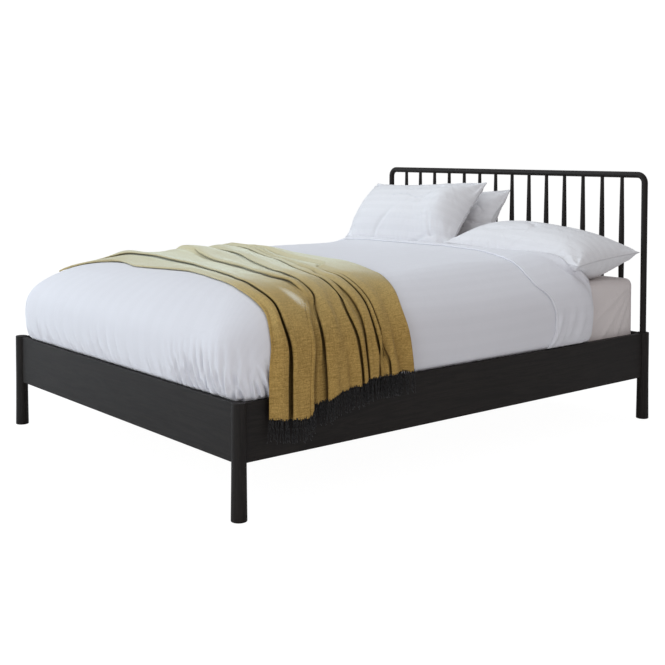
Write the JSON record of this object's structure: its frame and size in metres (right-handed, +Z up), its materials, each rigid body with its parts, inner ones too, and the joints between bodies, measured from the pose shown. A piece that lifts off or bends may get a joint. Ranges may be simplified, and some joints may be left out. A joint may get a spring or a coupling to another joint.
{
  "type": "spindle bed",
  "caption": "King-size bed: bent round-bar headboard hoop over turned spindles, plain rails, flared round legs and slatted base, made up with mattress, duvet, pillows and fringed throw.",
  "frame": {"origin": "on the floor under the middle of the bed, at the bottom centre of its box", "axes": "+Z up, +Y towards the headboard, +X towards the side that the throw hangs over"},
  "size_m": [1.597, 2.111, 1.033],
  "materials": {
    "black_oak": "ebonised open-grain oak under a low satin lacquer",
    "pine": "planed unfinished softwood",
    "bracket_steel": "black powder coat",
    "zinc_steel": "bright zinc plate",
    "black_plastic": "moulded, matt",
    "mattress_ticking": "woven ticking",
    "sheet_cotton": "plain percale",
    "duvet_cotton": "soft sateen cotton over loose fill",
    "pillow_sateen": "white sateen with woven satin stripes",
    "throw_wool": "fine twill wool, ochre",
    "fringe_yarn": "twisted black yarn"
  },
  "bodies": {
    "frame": {"beam_saddle_foot": "bracket_steel", "beam_saddle_head": "bracket_steel", "bracket_screws": "zinc_steel", "centre_beam": "pine", "corner_bracket_foot_far": "bracket_steel", "corner_bracket_foot_near": "bracket_steel", "corner_bracket_head_far": "bracket_steel", "corner_bracket_head_near": "bracket_steel", "foot_panel": "black_oak", "head_panel": "black_oak", "headboard_hoop": "black_oak", "ledger_far": "pine", "ledger_near": "pine", "leg_bolts": "zinc_steel", "leg_foot_far": "black_oak", "leg_foot_near": "black_oak", "leg_head_far": "black_oak", "leg_head_near": "black_oak", "leg_nuts": "zinc_steel", "levelling_foot_a": "black_plastic", "levelling_foot_b": "black_plastic", "prop_foot_end": "pine", "prop_head_end": "pine", "side_rail_far": "black_oak", "side_rail_near": "black_oak", "slat_01": "pine", "slat_02": "pine", "slat_03": "pine", "slat_04": "pine", "slat_05": "pine", "slat_06": "pine", "slat_07": "pine", "slat_08": "pine", "slat_09": "pine", "slat_10": "pine", "slat_11": "pine", "slat_12": "pine", "spindle_01": "black_oak", "spindle_02": "black_oak", "spindle_03": "black_oak", "spindle_04": "black_oak", "spindle_05": "black_oak", "spindle_06": "black_oak", "spindle_07": "black_oak", "spindle_08": "black_oak", "spindle_09": "black_oak", "spindle_10": "black_oak", "spindle_11": "black_oak", "spindle_12": "black_oak", "spindle_13": "black_oak", "spindle_14": "black_oak", "timber_screws": "zinc_steel"},
    "mattress": {"mattress": "mattress_ticking", "fitted_sheet": "sheet_cotton"},
    "duvet": {"duvet": "duvet_cotton"},
    "throw": {"throw": "throw_wool", "throw_fringe": "fringe_yarn"},
    "pillow_near": {"pillow_near": "pillow_sateen"},
    "pillow_front": {"pillow_front": "pillow_sateen"},
    "pillow_back": {"pillow_back": "pillow_sateen"}
  },
  "joints": [
    {"name": "mattress_lift", "type": "slide", "parent": "frame", "child": "mattress", "axis": [0, 0, 1], "range_m": [0, 0.15]},
    {"name": "duvet_lift", "type": "slide", "parent": "mattress", "child": "duvet", "axis": [0, 0, 1], "range_m": [0, 0.12]},
    {"name": "throw_lift", "type": "slide", "parent": "duvet", "child": "throw", "axis": [0, 0, 1], "range_m": [0, 0.12]},
    {"name": "pillow_near_lift", "type": "slide", "parent": "duvet", "child": "pillow_near", "axis": [0, 0, 1], "range_m": [0, 0.1]},
    {"name": "pillow_back_lift", "type": "slide", "parent": "duvet", "child": "pillow_back", "axis": [0, 0, 1], "range_m": [0, 0.1]},
    {"name": "pillow_front_lift", "type": "slide", "parent": "pillow_back", "child": "pillow_front", "axis": [0, 0, 1], "range_m": [0, 0.1]}
  ]
}
